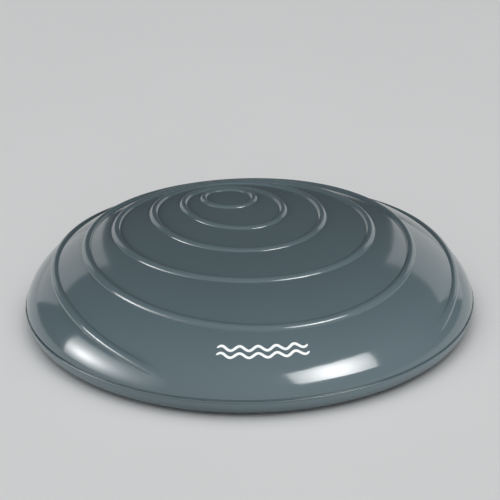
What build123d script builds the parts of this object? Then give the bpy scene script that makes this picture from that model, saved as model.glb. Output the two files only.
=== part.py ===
"""Inflatable wobble cushion: a moulded vinyl disc with a rippled domed top and an air valve.

Millimetres, +Z up. The origin is the centre of the underside, where it rests on a seat.
The front of the cushion, with the printed mark, faces -Y, and the valve faces +Y.
"""

import os
from math import cos, pi, sin

from build123d import *

# ---------------------------------------------------------------- driving dimensions
OVERALL_RADIUS = 197.0  # over the welded seam
SEAM_HEIGHT = 16.0  # middle of the seam above the seat
DOME_HEIGHT = 63.5  # from the seam up to the middle of the top
SKIN = 3.0  # moulded wall thickness
BODY_GAP = 0.3  # between pieces that move apart

# The dome is a superellipse of revolution: (r / R) ** FLATNESS + (z / H) ** FULLNESS = 1.
FLATNESS = 3.5
FULLNESS = 1.6
DOME_STEPS = 14  # spline points from the middle of the top to the seam

# Seam
SEAM_BEAD_PROUD = 1.2
SEAM_BEAD_HEIGHT = 2.0
SEAM_BEAD_BEVEL = 0.4
SKIN_RADIUS = OVERALL_RADIUS - SEAM_BEAD_PROUD - BODY_GAP

# Raised ripples, smallest first: centre x, centre y, half width, half length, turn in degrees.
# Each is a slightly long ring, and their centres drift back and left towards the middle.
# The last two stand on the shoulder of the skin and the others on its crown.
RIPPLES = [
    (-17.5, 76.5, 22.0, 24.5, 33.0),
    (-13.5, 56.0, 41.5, 52.5, 31.0),
    (-9.5, 42.5, 73.0, 84.5, 24.0),
    (-5.0, 19.5, 109.0, 116.5, 40.0),
    (-0.5, 1.0, 141.0, 155.0, 16.5),
    (4.5, -8.0, 174.0, 191.5, 10.0),
]
RIPPLE_WIDTH = 8.0
RIPPLE_HEIGHT = 2.2
RIPPLE_ROOT = 1.0  # how far a ripple's solid reaches into the skin
OUTER_RIPPLE_OPEN_FROM = -128.0  # the outer ripple dies out round the front, in degrees
OUTER_RIPPLE_OPEN_TO = -30.0

# Zones of the upper skin, which flex against each other
HEM_TOP = 30.0
CROWN_MARGIN = 5.0  # the crown ends this far inside the middle of the last ripple but one

# Underside
SOLE_CORNER = 14.0  # radius between the underside and the side wall
LAND_INNER_RADIUS = 160.0  # inner edge of the flat ring that the cushion rests on
SOLE_RECESS = 2.0
RECESS_SLOPE = 4.0  # width of the sloped step into the recess

# Valve, in the side wall at the back
VALVE_HEIGHT = 8.0
PAD_RADIUS = 6.8
PAD_FACE_Y = 194.2
PAD_ROOT_Y = 186.0
SOCKET_RADIUS = 4.3
SOCKET_LENGTH = 17.0
SOCKET_BORE_RADIUS = 2.6
FLANGE_RADIUS = 5.7
FLANGE_THICKNESS = 1.4
FLANGE_CHAMFER = 0.4
NOTCH_WIDTH = 2.4
NOTCH_UNDER_HEAD = 0.8  # how far the fingernail notch reaches in under the plug's head
CORE_LENGTH = 6.0
CORE_SLIT = (3.4, 0.3)
PLUG_HEAD_RADIUS = 4.4
PLUG_HEAD_THICKNESS = 1.3
PLUG_HEAD_ROUND = 0.6
PLUG_SEAT_GAP = 0.05
PLUG_SHANK_RADIUS = 2.5
PLUG_SHANK_LENGTH = 9.0
PLUG_TIP_CHAMFER = 0.8
PRESS_CLEARANCE = 0.02

# Printed mark: two plain wavy strokes on the front of the dome
MARK_X = 10.0
MARK_HEIGHT = 49.5
MARK_WAVES = 5
MARK_WAVE_LENGTH = 14.0
MARK_WAVE_RISE = 1.6
MARK_STROKE = 2.0
MARK_STROKE_GAP = 5.0
MARK_FILM = (0.02, 0.25)  # underside and top of the ink above the skin

FULL_HEIGHT = 2 * DOME_HEIGHT  # taller than anything, for cutting shapes


# ---------------------------------------------------------------- shared shapes
def dome_point(step, lift):
    """A point (r, z) of the dome, lifted off it along its normal; step 0 is the middle."""
    angle = pi / 2 * step / DOME_STEPS
    r = sin(angle) ** (2 / FLATNESS)
    z = max(cos(angle), 0.0) ** (2 / FULLNESS)
    normal = Vector(
        FLATNESS / SKIN_RADIUS * r ** (FLATNESS - 1),
        FULLNESS / DOME_HEIGHT * z ** (FULLNESS - 1),
    ).normalized()
    return r * SKIN_RADIUS + lift * normal.X, SEAM_HEIGHT + z * DOME_HEIGHT + lift * normal.Y


def dome_layer(low, high):
    """The whole upper skin between two distances off the dome's outer surface."""
    outer = [dome_point(step, high) for step in range(DOME_STEPS + 1)]
    inner = [dome_point(step, low) for step in range(DOME_STEPS + 1)]
    with BuildPart() as layer:
        with BuildSketch(Plane.XZ):
            with BuildLine():
                Spline(*outer, tangents=[(1, 0), (0, -1)])
                Line(outer[-1], inner[-1])
                Spline(*inner, tangents=[(1, 0), (0, -1)])
                Line(inner[0], outer[0])
            make_face()
        revolve(axis=Axis.Z)
    return layer.part


def ripple_rib(ripple):
    """One raised ripple, following the dome."""
    x, y, half_width, half_length, turn = ripple
    side = RIPPLE_WIDTH / 2
    with BuildPart() as rib:
        add(RIPPLE_LAYER)
        with BuildSketch(Plane.XY):
            with Locations(Location((x, y, 0), (0, 0, turn))):
                Ellipse(half_width + side, half_length + side)
                Ellipse(half_width - side, half_length - side, mode=Mode.SUBTRACT)
        extrude(amount=FULL_HEIGHT, mode=Mode.INTERSECT)
    return rib.part


def crown_prism(inset):
    """An upright prism just inside the last ripple but one, which parts crown from shoulder."""
    x, y, half_width, half_length, turn = RIPPLES[-2]
    margin = CROWN_MARGIN + inset
    with BuildPart() as prism:
        with BuildSketch(Plane.XY):
            with Locations(Location((x, y, 0), (0, 0, turn))):
                Ellipse(half_width - margin, half_length - margin)
        extrude(amount=FULL_HEIGHT)
    return prism.part


UPPER_SKIN = dome_layer(-SKIN, 0.0)
RIPPLE_LAYER = dome_layer(-RIPPLE_ROOT, RIPPLE_HEIGHT)
RIBS = [ripple_rib(ripple) for ripple in RIPPLES]
CROWN_CUT = crown_prism(BODY_GAP)
SHOULDER_CUT = crown_prism(0.0)

# ---------------------------------------------------------------- upper skin: crown
with BuildPart() as upper_skin_crown:
    add(UPPER_SKIN)
    add(CROWN_CUT, mode=Mode.INTERSECT)
    for rib in RIBS[:-2]:
        add(rib)

# ---------------------------------------------------------------- upper skin: shoulder
# The open front of the outer ripple is a wedge that is cut out of its rib.
with BuildPart() as outer_ripple:
    add(RIBS[-1])
    with BuildSketch(Plane.XY):
        reach = 2 * OVERALL_RADIUS
        open_angles = (OUTER_RIPPLE_OPEN_FROM, OUTER_RIPPLE_OPEN_TO)
        far_points = [(reach * cos(a * pi / 180), reach * sin(a * pi / 180)) for a in open_angles]
        with BuildLine():
            Polyline((0, 0), *far_points, close=True)
        make_face()
    extrude(amount=FULL_HEIGHT, mode=Mode.SUBTRACT)

with BuildPart() as upper_skin_shoulder:
    add(UPPER_SKIN)
    add(RIBS[-2])
    add(outer_ripple.part)
    add(SHOULDER_CUT, mode=Mode.SUBTRACT)
    split(bisect_by=Plane.XY.offset(HEM_TOP), keep=Keep.TOP)

# ---------------------------------------------------------------- upper skin: hem
with BuildPart() as upper_skin_hem:
    add(UPPER_SKIN)
    split(bisect_by=Plane.XY.offset(SEAM_HEIGHT + BODY_GAP), keep=Keep.TOP)
    split(bisect_by=Plane.XY.offset(HEM_TOP - BODY_GAP), keep=Keep.BOTTOM)

# ---------------------------------------------------------------- seam bead
with BuildPart() as seam_bead:
    with BuildSketch(Plane.XZ) as seam_section:
        with Locations((OVERALL_RADIUS - SEAM_BEAD_PROUD / 2, SEAM_HEIGHT)):
            Rectangle(SEAM_BEAD_PROUD, SEAM_BEAD_HEIGHT)
        chamfer(seam_section.vertices().group_by(Axis.X)[-1], SEAM_BEAD_BEVEL)
    revolve(axis=Axis.Z)

# ---------------------------------------------------------------- lower skin
WALL_TOP = SEAM_HEIGHT - BODY_GAP
CORNER_X = SKIN_RADIUS - SOLE_CORNER
RECESS_RADIUS = LAND_INNER_RADIUS - RECESS_SLOPE

with BuildPart() as lower_skin:
    with BuildSketch(Plane.XZ):
        with BuildLine():
            Polyline(
                (0, SOLE_RECESS), (RECESS_RADIUS, SOLE_RECESS), (LAND_INNER_RADIUS, 0), (CORNER_X, 0)
            )
            CenterArc((CORNER_X, SOLE_CORNER), SOLE_CORNER, -90, 90)
            Polyline(
                (SKIN_RADIUS, SOLE_CORNER), (SKIN_RADIUS, WALL_TOP),
                (SKIN_RADIUS - SKIN, WALL_TOP), (SKIN_RADIUS - SKIN, SOLE_CORNER),
            )
            CenterArc((CORNER_X, SOLE_CORNER), SOLE_CORNER - SKIN, -90, 90)
            Polyline(
                (CORNER_X, SKIN), (LAND_INNER_RADIUS + SKIN / 2, SKIN),
                (RECESS_RADIUS + SKIN / 2, SOLE_RECESS + SKIN), (0, SOLE_RECESS + SKIN),
                (0, SOLE_RECESS),
            )
        make_face()
    revolve(axis=Axis.Z)
    # a round pad gives the valve a flat, upright face on the curved side wall
    with BuildSketch(Plane.XZ.offset(-PAD_ROOT_Y)):
        with Locations((0, VALVE_HEIGHT)):
            Circle(PAD_RADIUS)
    extrude(amount=-(PAD_FACE_Y - PAD_ROOT_Y))
    with BuildSketch(Plane.XZ.offset(-PAD_FACE_Y)):
        with Locations((0, VALVE_HEIGHT)):
            Circle(PAD_RADIUS)
    extrude(amount=-SKIN_RADIUS, mode=Mode.SUBTRACT)
    with BuildSketch(Plane.XZ.offset(-PAD_FACE_Y)):
        with Locations((0, VALVE_HEIGHT)):
            Circle(SOCKET_RADIUS + PRESS_CLEARANCE)
    extrude(amount=PAD_FACE_Y - PAD_ROOT_Y + SKIN, mode=Mode.SUBTRACT)

# ---------------------------------------------------------------- valve socket
# A flanged rubber tube bonded into the pad, with a notch for a fingernail under the plug.
with BuildPart() as valve_socket:
    with BuildSketch(Plane.XZ.offset(-PAD_FACE_Y)):
        with Locations((0, VALVE_HEIGHT)):
            Circle(SOCKET_RADIUS)
    extrude(amount=SOCKET_LENGTH)
    with BuildSketch(Plane.XZ.offset(-PAD_FACE_Y)):
        with Locations((0, VALVE_HEIGHT)):
            Circle(FLANGE_RADIUS)
    extrude(amount=-FLANGE_THICKNESS)
    chamfer(valve_socket.edges().group_by(Axis.Y)[-1], FLANGE_CHAMFER)
    with BuildSketch(Plane.XZ.offset(-(PAD_FACE_Y + FLANGE_THICKNESS))):
        with Locations((0, VALVE_HEIGHT)):
            Circle(SOCKET_BORE_RADIUS)
    extrude(amount=SOCKET_LENGTH + FLANGE_THICKNESS, mode=Mode.SUBTRACT)
    with BuildSketch(Plane.XZ.offset(-(PAD_FACE_Y + FLANGE_THICKNESS))):
        with Locations((FLANGE_RADIUS, VALVE_HEIGHT)):
            Rectangle(2 * (FLANGE_RADIUS - PLUG_HEAD_RADIUS + NOTCH_UNDER_HEAD), NOTCH_WIDTH)
    extrude(amount=FLANGE_THICKNESS / 2, mode=Mode.SUBTRACT)

# ---------------------------------------------------------------- valve core
# A soft self-closing insert at the inner end of the socket; a pump needle opens its slit.
CORE_INNER_Y = PAD_FACE_Y - SOCKET_LENGTH
with BuildPart() as valve_core:
    with BuildSketch(Plane.XZ.offset(-CORE_INNER_Y)):
        with Locations((0, VALVE_HEIGHT)):
            Circle(SOCKET_BORE_RADIUS - PRESS_CLEARANCE)
            Rectangle(*CORE_SLIT, mode=Mode.SUBTRACT)
    extrude(amount=-CORE_LENGTH)

# ---------------------------------------------------------------- valve plug
HEAD_SEAT_Y = PAD_FACE_Y + FLANGE_THICKNESS + PLUG_SEAT_GAP
with BuildPart() as valve_plug:
    with BuildSketch(Plane.XZ.offset(-HEAD_SEAT_Y)):
        with Locations((0, VALVE_HEIGHT)):
            Circle(PLUG_HEAD_RADIUS)
    extrude(amount=-PLUG_HEAD_THICKNESS)
    fillet(valve_plug.edges().group_by(Axis.Y)[-1], PLUG_HEAD_ROUND)
    with BuildSketch(Plane.XZ.offset(-HEAD_SEAT_Y)):
        with Locations((0, VALVE_HEIGHT)):
            Circle(PLUG_SHANK_RADIUS)
    extrude(amount=PLUG_SHANK_LENGTH)
    chamfer(valve_plug.edges().group_by(Axis.Y)[0], PLUG_TIP_CHAMFER)

# ---------------------------------------------------------------- printed mark
MARK_LAYER = dome_layer(*MARK_FILM)
with BuildPart() as print_mark:
    with BuildSketch(Plane.XZ.offset(SKIN_RADIUS / 2)):
        for height in (MARK_HEIGHT - MARK_STROKE_GAP / 2, MARK_HEIGHT + MARK_STROKE_GAP / 2):
            start = MARK_X - MARK_WAVES * MARK_WAVE_LENGTH / 2
            with BuildLine() as wave:
                for index in range(2 * MARK_WAVES):
                    left = start + index * MARK_WAVE_LENGTH / 2
                    rise = MARK_WAVE_RISE * (1 if index % 2 == 0 else -1)
                    ThreePointArc(
                        (left, height),
                        (left + MARK_WAVE_LENGTH / 4, height + rise),
                        (left + MARK_WAVE_LENGTH / 2, height),
                    )
            trace(wave.line, line_width=MARK_STROKE)
    extrude(amount=SKIN_RADIUS)
    add(MARK_LAYER, mode=Mode.INTERSECT)

# ---------------------------------------------------------------- write every piece
PIECES = {
    "upper_skin_crown": upper_skin_crown,
    "upper_skin_shoulder": upper_skin_shoulder,
    "upper_skin_hem": upper_skin_hem,
    "seam_bead": seam_bead,
    "lower_skin": lower_skin,
    "valve_socket": valve_socket,
    "valve_core": valve_core,
    "valve_plug": valve_plug,
    "print_mark": print_mark,
}
os.makedirs("parts", exist_ok=True)
for name, piece in PIECES.items():
    piece.part.label = name
    export_step(piece.part, f"parts/{name}.step")
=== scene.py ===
"""Looks of an inflatable wobble cushion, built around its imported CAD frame.

The world is in metres, +Z up; the printed front faces -Y and the valve faces +Y. The cushion's own
dimensions, down to the printed mark, are in millimetres, and make_object turns them into metres.
"""
from math import cos, pi, radians, sin

import bmesh
import bpy
import numpy as np
from mathutils import Euler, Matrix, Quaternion, Vector


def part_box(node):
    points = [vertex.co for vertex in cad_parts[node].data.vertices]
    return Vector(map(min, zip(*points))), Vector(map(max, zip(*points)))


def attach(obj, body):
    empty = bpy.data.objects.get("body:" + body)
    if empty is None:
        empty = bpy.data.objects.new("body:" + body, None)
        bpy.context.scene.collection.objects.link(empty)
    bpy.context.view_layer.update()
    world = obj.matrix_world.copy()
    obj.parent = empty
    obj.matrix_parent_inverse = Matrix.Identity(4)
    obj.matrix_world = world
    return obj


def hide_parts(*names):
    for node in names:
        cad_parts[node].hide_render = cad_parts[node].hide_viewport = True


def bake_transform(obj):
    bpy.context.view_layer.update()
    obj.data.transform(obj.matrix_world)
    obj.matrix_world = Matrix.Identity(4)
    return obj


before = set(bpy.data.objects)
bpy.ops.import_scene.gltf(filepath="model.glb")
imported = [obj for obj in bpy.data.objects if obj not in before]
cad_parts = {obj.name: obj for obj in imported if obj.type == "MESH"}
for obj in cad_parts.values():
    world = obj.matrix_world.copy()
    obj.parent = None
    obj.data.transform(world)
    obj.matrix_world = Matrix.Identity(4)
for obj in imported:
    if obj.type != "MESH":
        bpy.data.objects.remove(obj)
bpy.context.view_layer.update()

SEAM_LOW, SEAM_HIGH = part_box("seam_bead")
SOCKET_LOW, SOCKET_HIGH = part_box("valve_socket")
MM = 0.001

# ---------------------------------------------------------------- shape of the cushion
WELD_PROUD = 0.5  # how far the weld stands out past the skins
RADIUS = SEAM_HIGH.x / MM - WELD_PROUD
SEAM_Z = (SEAM_LOW.z + SEAM_HIGH.z) / 2 / MM
DOME_HEIGHT = 63.5
FLATNESS = 3.5  # (r / RADIUS) ** FLATNESS + (height / DOME_HEIGHT) ** FULLNESS = 1
FULLNESS = 1.6
SKIN = 3.0  # wall thickness
SEAM_CREASE = 0.5  # how far each skin's edge stops from the middle of the seam
GROOVE_DEPTH = 0.6  # the upper skin is drawn in just above the weld
GROOVE_ABOVE = 0.9
GROOVE_WIDTH = 0.75

# Raised ripples, smallest first: centre x, centre y, half width, half length, turn in degrees.
RIPPLES = [
    (-17.5, 76.5, 22.0, 24.5, 33.0),
    (-13.5, 56.0, 41.5, 52.5, 31.0),
    (-9.5, 42.5, 73.0, 84.5, 24.0),
    (-5.0, 19.5, 109.0, 116.5, 40.0),
    (-0.5, 1.0, 141.0, 155.0, 16.5),
    (4.5, -8.0, 174.0, 191.5, 10.0),
]
LAST_RIPPLE = len(RIPPLES) - 1
RIPPLE_SIZES = [0.76, 0.82, 0.9, 0.96, 1.0, 1.0]  # the inner ripples are finer
RIPPLE_HALF_WIDTH = 4.1
RIPPLE_HEIGHT = 2.6
RIPPLE_ROUNDNESS = 0.75  # 0.5 is half an ellipse, 1 a plain arch; more eases the feet into the skin
LAST_RIPPLE_REACH = 192.5  # the outer ripple's line is held inside this radius
REACH_SHARPNESS = 120  # how suddenly its line turns to follow that radius
FADE_LEFT = (-125.0, -108.0)  # the outer ripple sinks into the skin between these angles
FADE_RIGHT = (-38.0, -18.0)

# Mesh fineness
TURNS = 480  # points round the cushion
NEAR_STEPS = [0.0, 0.65, 1.3, 1.95, 2.5, 3.0, 3.4, 3.7, 3.93, 4.1, 4.25, 4.7]  # off a full-size ripple
BETWEEN_STEPS = 8
BETWEEN_NEAR_SHARE = 0.9  # the most of the way between two ripples that their near steps take
CENTRE_STEPS = 10
RIM_STEPS = 40
RIM_NEAR_SHARE = 0.6  # the same for the way from the outer ripple to the seam
INNER_STEPS = 24  # rows across the inside of each piece of the upper skin
LEAST_RATE = 1.0  # keeps the near steps apart where two lines almost touch
LEAST_UPWARD = 0.05  # keeps slopes finite where the dome is upright
TINY = 1e-9


# ---------------------------------------------------------------- geometry of the dome
def polar(r, angle):
    return r * np.cos(angle), r * np.sin(angle)


def smooth_step(value, low, high):
    share = np.clip((value - low) / (high - low), 0, 1)
    return share * share * (3 - 2 * share)


def dome_height(r):
    """Height of the dome's outer surface at radius r."""
    share = np.clip(1 - (np.clip(r, 0, RADIUS) / RADIUS) ** FLATNESS, 0, 1)
    return SEAM_Z + DOME_HEIGHT * share ** (1 / FULLNESS)


def dome_normal(x, y, z):
    """Unit normals of the dome at surface points."""
    r = np.maximum(np.hypot(x, y), TINY)
    out = FLATNESS / RADIUS * (r / RADIUS) ** (FLATNESS - 1)
    up = FULLNESS / DOME_HEIGHT * (np.clip(z - SEAM_Z, 0, None) / DOME_HEIGHT) ** (FULLNESS - 1)
    normal = np.stack([out * x / r, out * y / r, up], -1)
    return normal / np.linalg.norm(normal, axis=-1, keepdims=True)


def dome_parameter(r):
    """Even spacing in this angle gives even spacing along the dome, also where it is upright."""
    return np.arcsin(np.clip(r / RADIUS, 0, 1) ** (FLATNESS / 2))


def dome_radius(parameter):
    return RADIUS * np.sin(parameter) ** (2 / FLATNESS)


def ripple_line(index, angle):
    """Plan points of a ripple's crest, at directions from its own centre."""
    x, y, a, b, turn = RIPPLES[index]
    local = angle - radians(turn)
    reach = a * b / np.sqrt((b * np.cos(local)) ** 2 + (a * np.sin(local)) ** 2)
    px, py = x + reach * np.cos(angle), y + reach * np.sin(angle)
    if index == LAST_RIPPLE:  # where it has sunk into the skin its line is drawn in
        beyond = (np.hypot(px, py) / LAST_RIPPLE_REACH) ** REACH_SHARPNESS
        pull = (1 + beyond) ** (-1 / REACH_SHARPNESS)
        px, py = px * pull, py * pull
    return px, py


def ripple_distance(index, x, y):
    """Distance along the skin from points to a ripple's crest; positive is outside it."""
    cx, cy, a, b, turn = RIPPLES[index]
    c, s = cos(radians(turn)), sin(radians(turn))
    u, v = (x - cx) * c + (y - cy) * s, -(x - cx) * s + (y - cy) * c
    level = np.maximum(np.hypot(u / a, v / b), TINY)
    gu, gv = u / a**2 / level, v / b**2 / level
    gradient = np.maximum(np.hypot(gu, gv), TINY)
    across = np.stack([gu * c - gv * s, gu * s + gv * c], -1) / gradient[..., None]
    normal = dome_normal(x, y, dome_height(np.hypot(x, y)))
    fall = normal[..., 0] * across[..., 0] + normal[..., 1] * across[..., 1]
    slope = fall / np.maximum(normal[..., 2], LEAST_UPWARD)
    return (level - 1) / gradient * np.sqrt(1 + slope**2)


def ripple_strength(index, x, y):
    """1 where a ripple stands at full height, less where the outer one fades out at the front."""
    if index < LAST_RIPPLE:
        return 1.0
    angle = np.degrees(np.arctan2(y, x))
    return np.maximum(1 - smooth_step(angle, *FADE_LEFT), smooth_step(angle, *FADE_RIGHT))


def ripple_lift(x, y):
    """How far the ripples raise the skin at plan points."""
    lift = np.zeros_like(x)
    for index, size in enumerate(RIPPLE_SIZES):
        share = np.abs(ripple_distance(index, x, y)) / (RIPPLE_HALF_WIDTH * size)
        arch = RIPPLE_HEIGHT * size * np.clip(1 - share**2, 0, 1) ** RIPPLE_ROUNDNESS
        lift = np.maximum(lift, arch * ripple_strength(index, x, y))
    return lift


# ---------------------------------------------------------------- mesh helpers
def make_object(name, points_mm, faces):
    """A new smooth mesh object from points in mm."""
    mesh = bpy.data.meshes.new(name)
    mesh.from_pydata((np.asarray(points_mm) * MM).tolist(), [], faces)
    mesh.validate()
    mesh.update()
    mesh.shade_smooth()
    piece = bpy.data.objects.new(name, mesh)
    bpy.context.scene.collection.objects.link(piece)
    return piece


def ring_of_quads(lower, upper, columns, flip=False):
    """Quads that join two closed rows of points, given by their first indices."""
    quads = [
        (lower + c, lower + (c + 1) % columns, upper + (c + 1) % columns, upper + c)
        for c in range(columns)
    ]
    return [quad[::-1] for quad in quads] if flip else quads


def grid_faces(rows, columns, first=0, flip=False):
    """Quads of a grid of closed rows."""
    faces = []
    for row in range(rows - 1):
        lower = first + row * columns
        faces += ring_of_quads(lower, lower + columns, columns, flip)
    return faces


def fan(middle, first, columns, flip=False):
    """Triangles from a middle point to a closed row of points."""
    triangles = [(middle, first + c, first + (c + 1) % columns) for c in range(columns)]
    return [triangle[::-1] for triangle in triangles] if flip else triangles


def set_attribute(piece, name, values):
    attribute = piece.data.attributes.new(name, "FLOAT", "POINT")
    attribute.data.foreach_set("value", np.asarray(values, np.float32))


def outward(piece):
    """Turns a closed mesh's faces outward."""
    mesh = bmesh.new()
    mesh.from_mesh(piece.data)
    bmesh.ops.recalc_face_normals(mesh, faces=mesh.faces)
    mesh.to_mesh(piece.data)
    mesh.free()


def combine(piece, other, operation):
    """Applies a boolean to piece and removes the other object."""
    outward(other)
    modifier = piece.modifiers.new("combine", "BOOLEAN")
    modifier.operation = operation
    modifier.solver = "EXACT"
    modifier.object = other
    bpy.context.view_layer.objects.active = piece
    bpy.ops.object.modifier_apply(modifier=modifier.name)
    bpy.data.objects.remove(other)


# ---------------------------------------------------------------- upper skin
ANGLES = np.linspace(0, 2 * pi, TURNS, endpoint=False)
PROBE = 0.02  # the short way, as a share, over which a rate is measured
RIM_PROBE = 0.01  # the same on the dome's parameter
SKIN_SHARP_ABOVE = radians(50)


def way(start, end, shares):
    """Rows of plan points on the way from one line to another."""
    (x0, y0), (x1, y1) = start, end
    return [(x0 + (x1 - x0) * share, y0 + (y1 - y0) * share) for share in shares]


def skin_rate(index, crest, end):
    """How fast the distance along the skin from a ripple's crest grows on the way to end.

    It is in units of the ripple's own size, so that the mesh is finer on a finer ripple.
    """
    distance = np.abs(ripple_distance(index, *way(crest, end, [PROBE])[0]))
    return np.maximum(distance / PROBE, LEAST_RATE) / RIPPLE_SIZES[index]


def centre_rows():
    """Rows from just off the first ripple's centre out to its line, without its crest."""
    centre, crest = RIPPLES[0][:2], ripple_line(0, ANGLES)
    rate = skin_rate(0, crest, centre)
    near = [1 - step / rate for step in reversed(NEAR_STEPS[1:])]
    far = [near[0] * k / CENTRE_STEPS for k in range(1, CENTRE_STEPS)]
    return way(centre, crest, far + near)


def between(index):
    """Rows from a ripple to just inside the next one, close together near both."""
    start, end = ripple_line(index, ANGLES), ripple_line(index + 1, ANGLES)
    low_rate, high_rate = skin_rate(index, start, end), skin_rate(index + 1, end, start)
    reach = NEAR_STEPS[-1] / low_rate + NEAR_STEPS[-1] / high_rate
    squeeze = np.minimum(1, BETWEEN_NEAR_SHARE / reach)
    low = [squeeze * step / low_rate for step in NEAR_STEPS]
    high = [1 - squeeze * step / high_rate for step in reversed(NEAR_STEPS[1:])]
    middle = [low[-1] + (high[0] - low[-1]) * k / BETWEEN_STEPS for k in range(1, BETWEEN_STEPS)]
    return way(start, end, low + middle + high)


def rim_rows():
    """Rows from the outer ripple down to the seam, even along the upright part of the dome."""
    x, y = ripple_line(LAST_RIPPLE, ANGLES)
    start = dome_parameter(np.hypot(x, y))
    turn = np.arctan2(y, x)
    turn += 2 * pi * np.round((ANGLES - turn) / (2 * pi))
    beside = polar(dome_radius(start + RIM_PROBE), turn)
    rate = np.abs(ripple_distance(LAST_RIPPLE, *beside)) / RIM_PROBE * (pi / 2 - start)
    near = [step / np.maximum(rate, LEAST_RATE) for step in NEAR_STEPS]
    squeeze = np.minimum(1, RIM_NEAR_SHARE / near[-1])
    near = [squeeze * share for share in near]
    far = [near[-1] + (1 - near[-1]) * k / RIM_STEPS for k in range(1, RIM_STEPS + 1)]
    rows = []
    for share in near + far:
        parameter = start + (pi / 2 - start) * share
        rows.append(polar(dome_radius(parameter), turn + (ANGLES - turn) * share))
    return rows


def on_dome(rows):
    """Points on the smooth dome for rows of plan points, and their normals."""
    x = np.concatenate([row[0] for row in rows])
    y = np.concatenate([row[1] for row in rows])
    z = dome_height(np.hypot(x, y))
    return np.stack([x, y, z], -1), dome_normal(x, y, z)


def above_crease(points):
    points[:, 2] = np.maximum(points[:, 2], SEAM_Z + SEAM_CREASE)
    return points


def outer_points(rows):
    """Points on the rippled outside, and how much of a full ripple's height each one has."""
    points, normals = on_dome(rows)
    x, y, z = points.T
    lift = ripple_lift(x, y)
    groove = GROOVE_DEPTH * np.exp(-(((z - SEAM_Z - GROOVE_ABOVE) / GROOVE_WIDTH) ** 2))
    return above_crease(points + normals * (lift - groove)[:, None]), lift / RIPPLE_HEIGHT


def inner_points(rows):
    """Points on the inside of the skin below rows of plan points."""
    points, normals = on_dome(rows)
    return above_crease(points - normals * SKIN)


def build_skin_piece(name, rows, closed):
    """One piece of the upper skin: its outside, its inside and the edges that join them.

    A closed piece covers the first ripple's centre, and an open one has an edge there instead.
    """
    outside, crest_highlight_share = outer_points(rows)
    kept = np.linspace(0, len(rows) - 1, INNER_STEPS).astype(int)
    inside = inner_points([rows[k] for k in kept])
    points = [outside, inside]
    first_inside = len(outside)
    first_middle = first_inside + len(inside)
    faces = grid_faces(len(rows), TURNS, flip=True)
    faces += grid_faces(INNER_STEPS, TURNS, first=first_inside)
    if closed:
        middle = outer_points([np.array(RIPPLES[0][:2])[:, None]])[0]
        points += [middle, middle - [0, 0, SKIN]]
        faces += fan(first_middle, 0, TURNS)
        faces += fan(first_middle + 1, first_inside, TURNS, flip=True)
    else:
        faces += ring_of_quads(0, first_inside, TURNS)
    faces += ring_of_quads(first_inside - TURNS, first_middle - TURNS, TURNS, flip=True)
    points = np.concatenate(points)
    piece = make_object(name, points, faces)
    # the share of a full ripple's height at each point, which the vinyl uses to paint a highlight on the
    # crests
    set_attribute(piece, "ripple", np.concatenate([crest_highlight_share, np.zeros(len(points) - len(crest_highlight_share))]))
    piece.data.set_sharp_from_angle(angle=SKIN_SHARP_ABOVE)
    return piece


def build_upper_skin():
    """The upper skin in two pieces that meet just inside the last ripple but one."""
    rows = centre_rows()
    for index in range(LAST_RIPPLE):
        rows += between(index)
        if index + 1 == LAST_RIPPLE - 1:
            split = len(rows) - (len(NEAR_STEPS) - 1)
    rows += rim_rows()
    return (
        build_skin_piece("upper_skin_top", rows[: split + 1], closed=True),
        build_skin_piece("upper_skin_side", rows[split:], closed=False),
    )


# ---------------------------------------------------------------- lower skin
SOLE_CORNER = 14.5  # radius between the underside and the side wall
SOLE_CORNER_STEPS = 16
INNER_CORNER_STEPS = 8
LAND_INNER = 160.0  # inner edge of the flat ring that the cushion rests on
LAND_FIRST_ROW = 3.0  # from that edge
LAND_ROWS = 6  # across the flat ring
RECESS = 2.0
RECESS_SLOPE = 5.0  # width of the eased step between the recess and the flat ring
RECESS_SLOPE_STEPS = 6
NUB_RADIUS = 5.0
NUB_HEIGHT = 1.9
NUB_ROUNDNESS = 0.8
NUB_PITCH = 17.0
NUB_FIELD = 150.0  # the nubs' rings stay inside this radius
SOLE_ROW_STEP = 1.3
INNER_MIDDLE = 1.0  # radius of the inside's last row, round its middle point
LOWER_TURNS = 640
PART_SHARP_ABOVE = radians(40)


def nub_centres():
    """Plan points of the underside's massage nubs: rings of evenly spread nubs."""
    centres = [(0.0, 0.0)]
    ring = 1
    while ring * NUB_PITCH < NUB_FIELD:
        r = ring * NUB_PITCH
        count = round(2 * pi * r / NUB_PITCH)
        for k in range(count):
            centres.append(polar(r, 2 * pi * (k + 0.5 * (ring % 2)) / count))
        ring += 1
    return centres


def nub_drop(x, y):
    """How far a point of the recess hangs down as part of a nub."""
    drop = np.zeros_like(x)
    for cx, cy in nub_centres():
        share = np.hypot(x - cx, y - cy) / NUB_RADIUS
        near = share < 1
        drop[near] = NUB_HEIGHT * (1 - share[near] ** 2) ** NUB_ROUNDNESS
    return drop


def lower_outline():
    """The underside's outline as (r, z), from the middle out and up to the seam."""
    recess_edge = LAND_INNER - RECESS_SLOPE
    rows = [(r, RECESS) for r in np.arange(SOLE_ROW_STEP, recess_edge, SOLE_ROW_STEP)]
    for k in range(RECESS_SLOPE_STEPS + 1):
        share = k / RECESS_SLOPE_STEPS
        rows.append((recess_edge + RECESS_SLOPE * share, RECESS * (1 - smooth_step(share, 0, 1))))
    corner = RADIUS - SOLE_CORNER
    rows += [(r, 0.0) for r in np.linspace(LAND_INNER + LAND_FIRST_ROW, corner, LAND_ROWS)]
    for k in range(1, SOLE_CORNER_STEPS + 1):
        angle = pi / 2 * k / SOLE_CORNER_STEPS
        rows.append((corner + SOLE_CORNER * sin(angle), SOLE_CORNER * (1 - cos(angle))))
    rows.append((RADIUS, SEAM_Z - SEAM_CREASE))
    return rows


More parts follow.
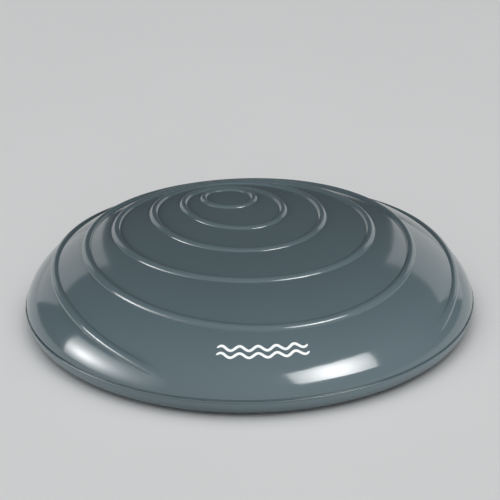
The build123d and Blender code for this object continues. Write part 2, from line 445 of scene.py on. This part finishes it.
def inner_outline():
    """The inside's outline as (r, z), from the seam down and in to the middle."""
    rows = [(RADIUS - SKIN, SEAM_Z - SEAM_CREASE)]
    reach = SOLE_CORNER - SKIN
    for k in range(INNER_CORNER_STEPS, -1, -1):
        angle = pi / 2 * k / INNER_CORNER_STEPS
        rows.append((RADIUS - SOLE_CORNER + reach * sin(angle), SOLE_CORNER - reach * cos(angle)))
    rows += [(LAND_INNER, SKIN), (LAND_INNER - RECESS_SLOPE, SKIN + RECESS)]
    rows.append((INNER_MIDDLE, SKIN + RECESS))
    return rows


def lathe(outline):
    """Points of an outline turned about the cushion's axis, row by row."""
    angles = np.linspace(0, 2 * pi, LOWER_TURNS, endpoint=False)
    rows = [np.stack([*polar(r, angles), np.full(LOWER_TURNS, z)], -1) for r, z in outline]
    return np.concatenate(rows)


def build_lower_skin():
    """The lower skin: a nubbed underside, the side wall and the inside, with the valve's boss."""
    outline = lower_outline()
    outside = lathe(outline)
    x, y, _ = outside.T
    outside[:, 2] -= np.where(np.hypot(x, y) < NUB_FIELD, nub_drop(x, y), 0)
    inside = lathe(inner_outline())
    middles = [(0, 0, RECESS - NUB_HEIGHT), (0, 0, SKIN + RECESS)]
    points = np.concatenate([outside, inside, middles])
    first_middle = len(outside) + len(inside)
    faces = grid_faces(first_middle // LOWER_TURNS, LOWER_TURNS)
    faces += fan(first_middle, 0, LOWER_TURNS, flip=True)
    faces += fan(first_middle + 1, first_middle - LOWER_TURNS, LOWER_TURNS)
    skin = make_object("lower_skin_moulding", points, faces)
    outward(skin)
    add_valve_boss(skin)
    skin.data.shade_smooth()
    skin.data.set_sharp_from_angle(angle=PART_SHARP_ABOVE)
    return skin


# ---------------------------------------------------------------- valve boss, in the side wall
VALVE_Z = (SOCKET_LOW.z + SOCKET_HIGH.z) / 2 / MM
VALVE_TURNS = 72
PAD_FACE_Y = 194.2
PAD_ROOT_Y = 186.0
PAD_RADIUS = 6.8
PAD_EASE = 1.2  # radius of its rim
PAD_EASE_STEPS = 6
PAD_PILOT = 0.5  # radius of the hole that the bore widens
SOCKET_BORE = 4.33
BORE_INWARD = 8.0  # how far the bore runs past the boss, through the wall
BORE_OUTWARD = 2.0


def circle_about_y(radius, y):
    """Points of a circle about the valve's axis, which runs along Y."""
    x, z = polar(radius, np.linspace(0, 2 * pi, VALVE_TURNS, endpoint=False))
    return np.stack([x, np.full(VALVE_TURNS, y), VALVE_Z + z], -1)


def build_pad():
    """A thick washer with an eased rim, for the socket to sit in."""
    outline = [(PAD_PILOT, PAD_ROOT_Y), (PAD_PILOT, PAD_FACE_Y)]
    for k in range(PAD_EASE_STEPS + 1):
        angle = pi / 2 * k / PAD_EASE_STEPS
        outline.append((PAD_RADIUS - PAD_EASE * (1 - sin(angle)), PAD_FACE_Y - PAD_EASE * (1 - cos(angle))))
    outline.append((PAD_RADIUS, PAD_ROOT_Y))
    faces = grid_faces(len(outline), VALVE_TURNS)
    faces += ring_of_quads((len(outline) - 1) * VALVE_TURNS, 0, VALVE_TURNS)
    return make_object("pad", np.concatenate([circle_about_y(*place) for place in outline]), faces)


def build_bore():
    """A plain cylinder, to cut the socket's hole with."""
    ends = [(SOCKET_BORE, PAD_ROOT_Y - BORE_INWARD), (SOCKET_BORE, PAD_FACE_Y + BORE_OUTWARD)]
    faces = ring_of_quads(0, VALVE_TURNS, VALVE_TURNS, flip=True)
    faces.append(tuple(range(VALVE_TURNS)))
    faces.append(tuple(range(2 * VALVE_TURNS - 1, VALVE_TURNS - 1, -1)))
    return make_object("bore", np.concatenate([circle_about_y(*place) for place in ends]), faces)


def add_valve_boss(skin):
    combine(skin, build_pad(), "UNION")
    combine(skin, build_bore(), "DIFFERENCE")


# ---------------------------------------------------------------- seam
SEAM_TURNS = 720
SEAM_SIDES = 14
SEAM_SECTION = 0.78  # radius of the bead
SEAM_OUT = 0.05  # the bead's middle lies this far outside the skins
SEAM_DROP = 0.3  # and this far below the line where they meet
SEAM_UNEVEN = [(0.03, 37, 0.0), (0.02, 101, 1.0)]  # rise, waves round the cushion, start


def build_seam():
    """The weld line: a fine round bead with a slightly uneven edge."""
    points = []
    for angle in np.linspace(0, 2 * pi, SEAM_TURNS, endpoint=False):
        section = SEAM_SECTION + sum(rise * sin(waves * angle + at) for rise, waves, at in SEAM_UNEVEN)
        for around in np.linspace(0, 2 * pi, SEAM_SIDES, endpoint=False):
            out, up = polar(section, around)
            points.append((*polar(RADIUS + SEAM_OUT + out, angle), SEAM_Z - SEAM_DROP + up))
    faces = grid_faces(SEAM_TURNS, SEAM_SIDES, flip=True)
    faces += ring_of_quads((SEAM_TURNS - 1) * SEAM_SIDES, 0, SEAM_SIDES, flip=True)
    return make_object("seam_weld", points, faces)


# ---------------------------------------------------------------- printed mark
MARK_TURN = -86.6  # direction of the mark's middle, in degrees
MARK_Z = 49.5
MARK_SPAN = 76.0
MARK_WAVES = 5
MARK_RISE = 2.0
MARK_GAP = 6.4  # between the middles of the two strokes
MARK_STROKE = 2.3
MARK_ROUNDING = 24  # how suddenly a stroke narrows towards its ends
MARK_LEAST_SHARE = 0.05  # of its full breadth, at its ends
MARK_STEPS = 160
MARK_PROBE = 0.001
FILM = (0.03, 0.16)  # underside and top of the ink above the skin


def stroke_edges(height):
    """Where one wavy stroke's two edges run, as (along, up) pairs from the mark's middle."""
    for k in range(MARK_STEPS + 1):
        t = k / MARK_STEPS
        phase = 2 * pi * MARK_WAVES * t
        slope = MARK_RISE * cos(phase) * 2 * pi * MARK_WAVES / MARK_SPAN
        length = np.hypot(1, slope)
        breadth = np.sqrt(1 - (2 * abs(t - 0.5)) ** MARK_ROUNDING)
        for side in (-0.5, 0.5):
            half = side * MARK_STROKE * max(breadth, MARK_LEAST_SHARE)
            along = (t - 0.5) * MARK_SPAN - half * slope / length
            yield along, height + MARK_RISE * sin(phase) + half / length


def build_mark():
    """Two wavy strokes of ink that lie on the dome, drawn as thin closed ribbons."""
    mark_r = RADIUS * (1 - ((MARK_Z - SEAM_Z) / DOME_HEIGHT) ** FULLNESS) ** (1 / FLATNESS)
    start = dome_parameter(mark_r)
    r = dome_radius(np.array([start, start + MARK_PROBE]))
    per_parameter = np.hypot(np.diff(r), np.diff(dome_height(r)))[0] / MARK_PROBE
    points, faces = [], []
    for height in (-MARK_GAP / 2, MARK_GAP / 2):
        first = len(points)
        for along, up in stroke_edges(height):
            r = dome_radius(start - up / per_parameter)
            x, y = polar(r, radians(MARK_TURN) + along / mark_r)
            place = np.array([x, y, dome_height(r)])
            points += [place + dome_normal(*place) * lift for lift in FILM]
        for k in range(MARK_STEPS):
            a, b = first + 4 * k, first + 4 * (k + 1)
            faces += [(a + 1, b + 1, b + 3, a + 3), (a, a + 2, b + 2, b)]
            faces += [(a, b, b + 1, a + 1), (a + 2, a + 3, b + 3, b + 2)]
        last = first + 4 * MARK_STEPS
        faces += [(first, first + 1, first + 3, first + 2), (last, last + 2, last + 3, last + 1)]
    mark = make_object("wave_print", points, faces)
    outward(mark)
    mark.data.set_sharp_from_angle(angle=PART_SHARP_ABOVE)
    return mark


# ---------------------------------------------------------------- materials
def new_material(name):
    """A node material: itself, its node tree, its shader and the object's own coordinates."""
    material = bpy.data.materials.new(name)
    material.use_nodes = True
    tree = material.node_tree
    place = tree.nodes.new("ShaderNodeTexCoord").outputs["Object"]
    return material, tree, tree.nodes["Principled BSDF"], place


def noise(tree, place, scale, detail, roughness):
    node = tree.nodes.new("ShaderNodeTexNoise")
    node.inputs["Scale"].default_value = scale
    node.inputs["Detail"].default_value = detail
    node.inputs["Roughness"].default_value = roughness
    tree.links.new(place, node.inputs["Vector"])
    return node.outputs["Fac"]


def value_range(tree, source, before, after):
    """Maps the range before, of a source socket, to the range after."""
    node = tree.nodes.new("ShaderNodeMapRange")
    node.inputs["From Min"].default_value, node.inputs["From Max"].default_value = before
    node.inputs["To Min"].default_value, node.inputs["To Max"].default_value = after
    tree.links.new(source, node.inputs["Value"])
    return node.outputs["Result"]


def colour_mix(tree, factor, first, second):
    """Mixes two colours, each a tuple or a socket, by a factor socket."""
    node = tree.nodes.new("ShaderNodeMix")
    node.data_type = "RGBA"
    factor_socket, first_socket, second_socket = node.inputs[0], node.inputs[6], node.inputs[7]
    for socket, value in ((first_socket, first), (second_socket, second)):
        if isinstance(value, tuple):
            socket.default_value = (*value, 1)
        else:
            tree.links.new(value, socket)
    tree.links.new(factor, factor_socket)
    return node.outputs[2]


def add_bump(tree, height, distance, strength, under=None):
    """A bump from a height socket, on top of the one under it."""
    node = tree.nodes.new("ShaderNodeBump")
    node.inputs["Distance"].default_value = distance
    node.inputs["Strength"].default_value = strength
    tree.links.new(height, node.inputs["Height"])
    if under is not None:
        tree.links.new(under, node.inputs["Normal"])
    return node.outputs["Normal"]


def shade(colour, share):
    return tuple(min(1, c * share) for c in colour)


def vinyl_material(name, colour, gloss):
    """Glossy moulded vinyl: faint clouding, a soft orange peel, dust and a painted highlight that lightens
    the ripple crests.
    """
    material, tree, shader, place = new_material(name)
    clouds = noise(tree, place, scale=9, detail=4, roughness=0.55)
    fine = noise(tree, place, scale=420, detail=2, roughness=0.5)
    peel = noise(tree, place, scale=170, detail=2, roughness=0.45)
    wander = noise(tree, place, scale=26, detail=3, roughness=0.5)
    dust = noise(tree, place, scale=900, detail=1, roughness=0.5)
    base = colour_mix(tree, clouds, shade(colour, 0.93), shade(colour, 1.07))
    specks = value_range(tree, dust, (0.72, 0.8), (0, 0.25))
    base = colour_mix(tree, specks, base, shade(colour, 1.6))
    crest_highlight_share = tree.nodes.new("ShaderNodeAttribute")
    crest_highlight_share.attribute_name = "ripple"
    # painted highlight: the ripple crests are lightened in colour to stand in for the pale band of light
    # along them
    painted_crest_highlight = value_range(tree, crest_highlight_share.outputs["Fac"], (0.55, 1.0), (0.0, 0.22))
    base = colour_mix(tree, painted_crest_highlight, base, shade(colour, 1.3))
    tree.links.new(base, shader.inputs["Base Color"])
    rough = value_range(tree, wander, (0.3, 0.7), (gloss - 0.025, gloss + 0.035))
    tree.links.new(rough, shader.inputs["Roughness"])
    shader.inputs["IOR"].default_value = 1.54
    shader.inputs["Coat Weight"].default_value = 0.35
    shader.inputs["Coat Roughness"].default_value = 0.07
    normal = add_bump(tree, peel, distance=0.00025, strength=0.10)
    normal = add_bump(tree, wander, distance=0.0012, strength=0.05, under=normal)
    normal = add_bump(tree, fine, distance=0.00005, strength=0.12, under=normal)
    tree.links.new(normal, shader.inputs["Normal"])
    return material


def plain_plastic(name, colour, gloss, grain, grain_depth):
    """Moulded rubber, plastic or ink with a fine grain and slight colour variation."""
    material, tree, shader, place = new_material(name)
    clouds = noise(tree, place, scale=120, detail=3, roughness=0.5)
    base = colour_mix(tree, clouds, shade(colour, 0.85), shade(colour, 1.15))
    tree.links.new(base, shader.inputs["Base Color"])
    grains = noise(tree, place, scale=grain, detail=3, roughness=0.6)
    rough = value_range(tree, grains, (0.3, 0.7), (gloss - 0.05, gloss + 0.07))
    tree.links.new(rough, shader.inputs["Roughness"])
    tree.links.new(add_bump(tree, grains, grain_depth, strength=0.3), shader.inputs["Normal"])
    return material


VINYL = (0.093, 0.131, 0.146)
vinyl = vinyl_material("vinyl_slate", VINYL, gloss=0.12)
weld = vinyl_material("vinyl_weld", shade(VINYL, 0.95), gloss=0.16)
socket_rubber = plain_plastic("socket_rubber", (0.045, 0.05, 0.055), 0.5, grain=1400, grain_depth=0.00006)
core_rubber = plain_plastic("core_rubber", (0.03, 0.03, 0.032), 0.6, grain=1100, grain_depth=0.00006)
plug_plastic = plain_plastic("plug_plastic", (0.062, 0.07, 0.075), 0.38, grain=1800, grain_depth=0.00004)
ink = plain_plastic("white_ink", (0.86, 0.88, 0.88), 0.32, grain=1600, grain_depth=0.00002)


def dress(piece, material):
    piece.data.materials.clear()
    piece.data.materials.append(material)


top, side = build_upper_skin()
for piece in (top, side):
    dress(piece, vinyl)
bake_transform(side)
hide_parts("upper_skin_shoulder", "upper_skin_hem")
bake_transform(top)
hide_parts("upper_skin_crown")

lower = build_lower_skin()
dress(lower, vinyl)
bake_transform(lower)
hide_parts("lower_skin")

seam = build_seam()
dress(seam, weld)
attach(seam, "rim")
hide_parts("seam_bead")

mark = build_mark()
dress(mark, ink)
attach(mark, "shoulder")
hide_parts("print_mark")

for node, material, slot in (
    ("valve_socket", socket_rubber, "valve_rubber"),
    ("valve_core", core_rubber, "valve_rubber"),
    ("valve_plug", plug_plastic, "plug_plastic"),
):
    dress(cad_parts[node], material)


# ---------------------------------------------------------------- floor, in mm
FLOOR_HALF = 6000.0
FLOOR_DROP = 0.2  # keeps the floor from coinciding with the flat underside
FLOOR_DARKER = (0.80, 0.80, 0.80)
FLOOR_LIGHTER = (0.84, 0.84, 0.84)


def build_floor():
    corners = [(x * FLOOR_HALF, y * FLOOR_HALF, -FLOOR_DROP) for x, y in ((-1, -1), (1, -1), (1, 1), (-1, 1))]
    floor = make_object("floor", corners, [(0, 1, 2, 3)])
    material, tree, shader, place = new_material("pale_floor")
    clouds = noise(tree, place, scale=3, detail=2, roughness=0.5)
    tree.links.new(colour_mix(tree, clouds, FLOOR_DARKER, FLOOR_LIGHTER), shader.inputs["Base Color"])
    shader.inputs["Roughness"].default_value = 0.7
    dress(floor, material)
    return floor


floor = build_floor()


# ---------------------------------------------------------------- light
def direction(turn, height):
    """Unit vector towards a turn from the front (right is positive) and a height, in degrees."""
    t, h = radians(turn), radians(height)
    return Vector((sin(t) * cos(h), -cos(t) * cos(h), sin(h)))


def softbox(name, turn, height, distance, width, tall, radiance, roll=0.0):
    """A rectangular area light, facing the cushion and hidden from the camera itself."""
    data = bpy.data.lights.new(name, "AREA")
    data.shape = "RECTANGLE"
    data.size, data.size_y = width, tall
    data.energy = radiance * pi * width * tall
    light = bpy.data.objects.new(name, data)
    bpy.context.scene.collection.objects.link(light)
    toward = direction(turn, height)
    light.location = toward * distance
    light.rotation_mode = "QUATERNION"
    level = toward.to_track_quat("Z", "Y")
    light.rotation_quaternion = level @ Quaternion((0, 0, 1), radians(roll))
    light.visible_camera = False
    return light


def light_only(light, state, piece):
    """With INCLUDE the light falls on this piece alone, with EXCLUDE on all but this piece."""
    receivers = bpy.data.collections.new(light.name + "_receivers")
    receivers.objects.link(piece)
    receivers.collection_objects[0].light_linking.link_state = state
    light.light_linking.receiver_collection = receivers


def hot_spot(light, middle, spread, fade=0.0):
    """Makes a softbox brightest at a point of its face, as with a lamp close behind the cloth.

    What would be dimmer than fade, as a share of the brightest point, is dark.
    """
    light.data.use_nodes = True
    tree = light.data.node_tree

    def maths(kind, operation, *inputs):
        """A maths node, whose inputs are each a socket or a constant."""
        node = tree.nodes.new(kind)
        node.operation = operation
        for socket, value in zip(node.inputs, inputs):
            if isinstance(value, bpy.types.NodeSocket):
                tree.links.new(value, socket)
            else:
                socket.default_value = value
        return node

    place = tree.nodes.new("ShaderNodeNewGeometry").outputs["Parametric"]
    offset = maths("ShaderNodeVectorMath", "SUBTRACT", place, (*middle, 0)).outputs["Vector"]
    share = maths("ShaderNodeVectorMath", "DIVIDE", offset, (*spread, 1)).outputs["Vector"]
    squared = maths("ShaderNodeVectorMath", "DOT_PRODUCT", share, share).outputs["Value"]
    falloff = maths("ShaderNodeMath", "ADD", squared, 1).outputs["Value"]
    strength = maths("ShaderNodeMath", "DIVIDE", 1, falloff).outputs["Value"]
    faded = maths("ShaderNodeMath", "SUBTRACT", strength, fade)
    faded.use_clamp = True
    tree.links.new(faded.outputs["Value"], tree.nodes["Emission"].inputs["Strength"])


key = softbox(
    "key_right", turn=44.4, height=35.2, distance=1.7, width=1.17, tall=0.58, radiance=17.0, roll=-1.6
)
hot_spot(key, (0.5, 0.5), (0.36, 0.6))
strip = softbox("strip_left", turn=-70, height=15, distance=1.8, width=2.06, tall=1.0, radiance=14.6)
hot_spot(strip, (0.25, 0.5), (0.215, 0.24), fade=0.07)
left = softbox(
    "backdrop_left", turn=-147.5, height=12, distance=2.4, width=1.3, tall=1.36, radiance=0.66, roll=-20
)
right = softbox(
    "backdrop_right", turn=146.5, height=13, distance=2.4, width=1.38, tall=1.4, radiance=0.72, roll=20
)
floor_light = softbox(
    "floor_overhead", turn=0, height=88, distance=3.0, width=5.0, tall=5.0, radiance=1.12
)
light_only(floor_light, "INCLUDE", floor)
for low_light in (key, strip, left, right):
    light_only(low_light, "EXCLUDE", floor)

# ---------------------------------------------------------------- surroundings
REAR_LIGHT = 0.05
FRONT_LIGHT = 0.6
FRONT_TO_REAR = (-1.0, 0.4)  # how far along Y, as a unit direction, the light dims
SKY = (0.95, 0.98, 1.0)


def build_world():
    """Soft studio light all round, dimmer behind the cushion than in front of it."""
    world = bpy.data.worlds.new("studio")
    world.use_nodes = True
    tree = world.node_tree
    parts = tree.nodes.new("ShaderNodeSeparateXYZ")
    tree.links.new(tree.nodes.new("ShaderNodeTexCoord").outputs["Generated"], parts.inputs[0])
    amount = value_range(tree, parts.outputs["Y"], FRONT_TO_REAR, (FRONT_LIGHT, REAR_LIGHT))
    background = tree.nodes["Background"]
    background.inputs["Color"].default_value = (*SKY, 1)
    tree.links.new(amount, background.inputs["Strength"])
    bpy.context.scene.world = world


build_world()
bpy.context.scene.view_settings.view_transform = "Standard"

# ---------------------------------------------------------------- camera
CAMERA_PLACE = (0.001, -1.933, 0.955)
CAMERA_PITCH = 24.82  # degrees down from level
CAMERA_ROLL = -0.89
LENS = 175.2
SENSOR = 36


def build_camera():
    data = bpy.data.cameras.new("camera")
    data.lens = LENS
    data.sensor_width = SENSOR
    camera = bpy.data.objects.new("camera", data)
    bpy.context.scene.collection.objects.link(camera)
    camera.location = CAMERA_PLACE
    camera.rotation_mode = "QUATERNION"
    level = Euler((radians(90 - CAMERA_PITCH), 0, 0)).to_quaternion()
    camera.rotation_quaternion = level @ Quaternion((0, 0, 1), radians(CAMERA_ROLL))
    bpy.context.scene.camera = camera


build_camera()
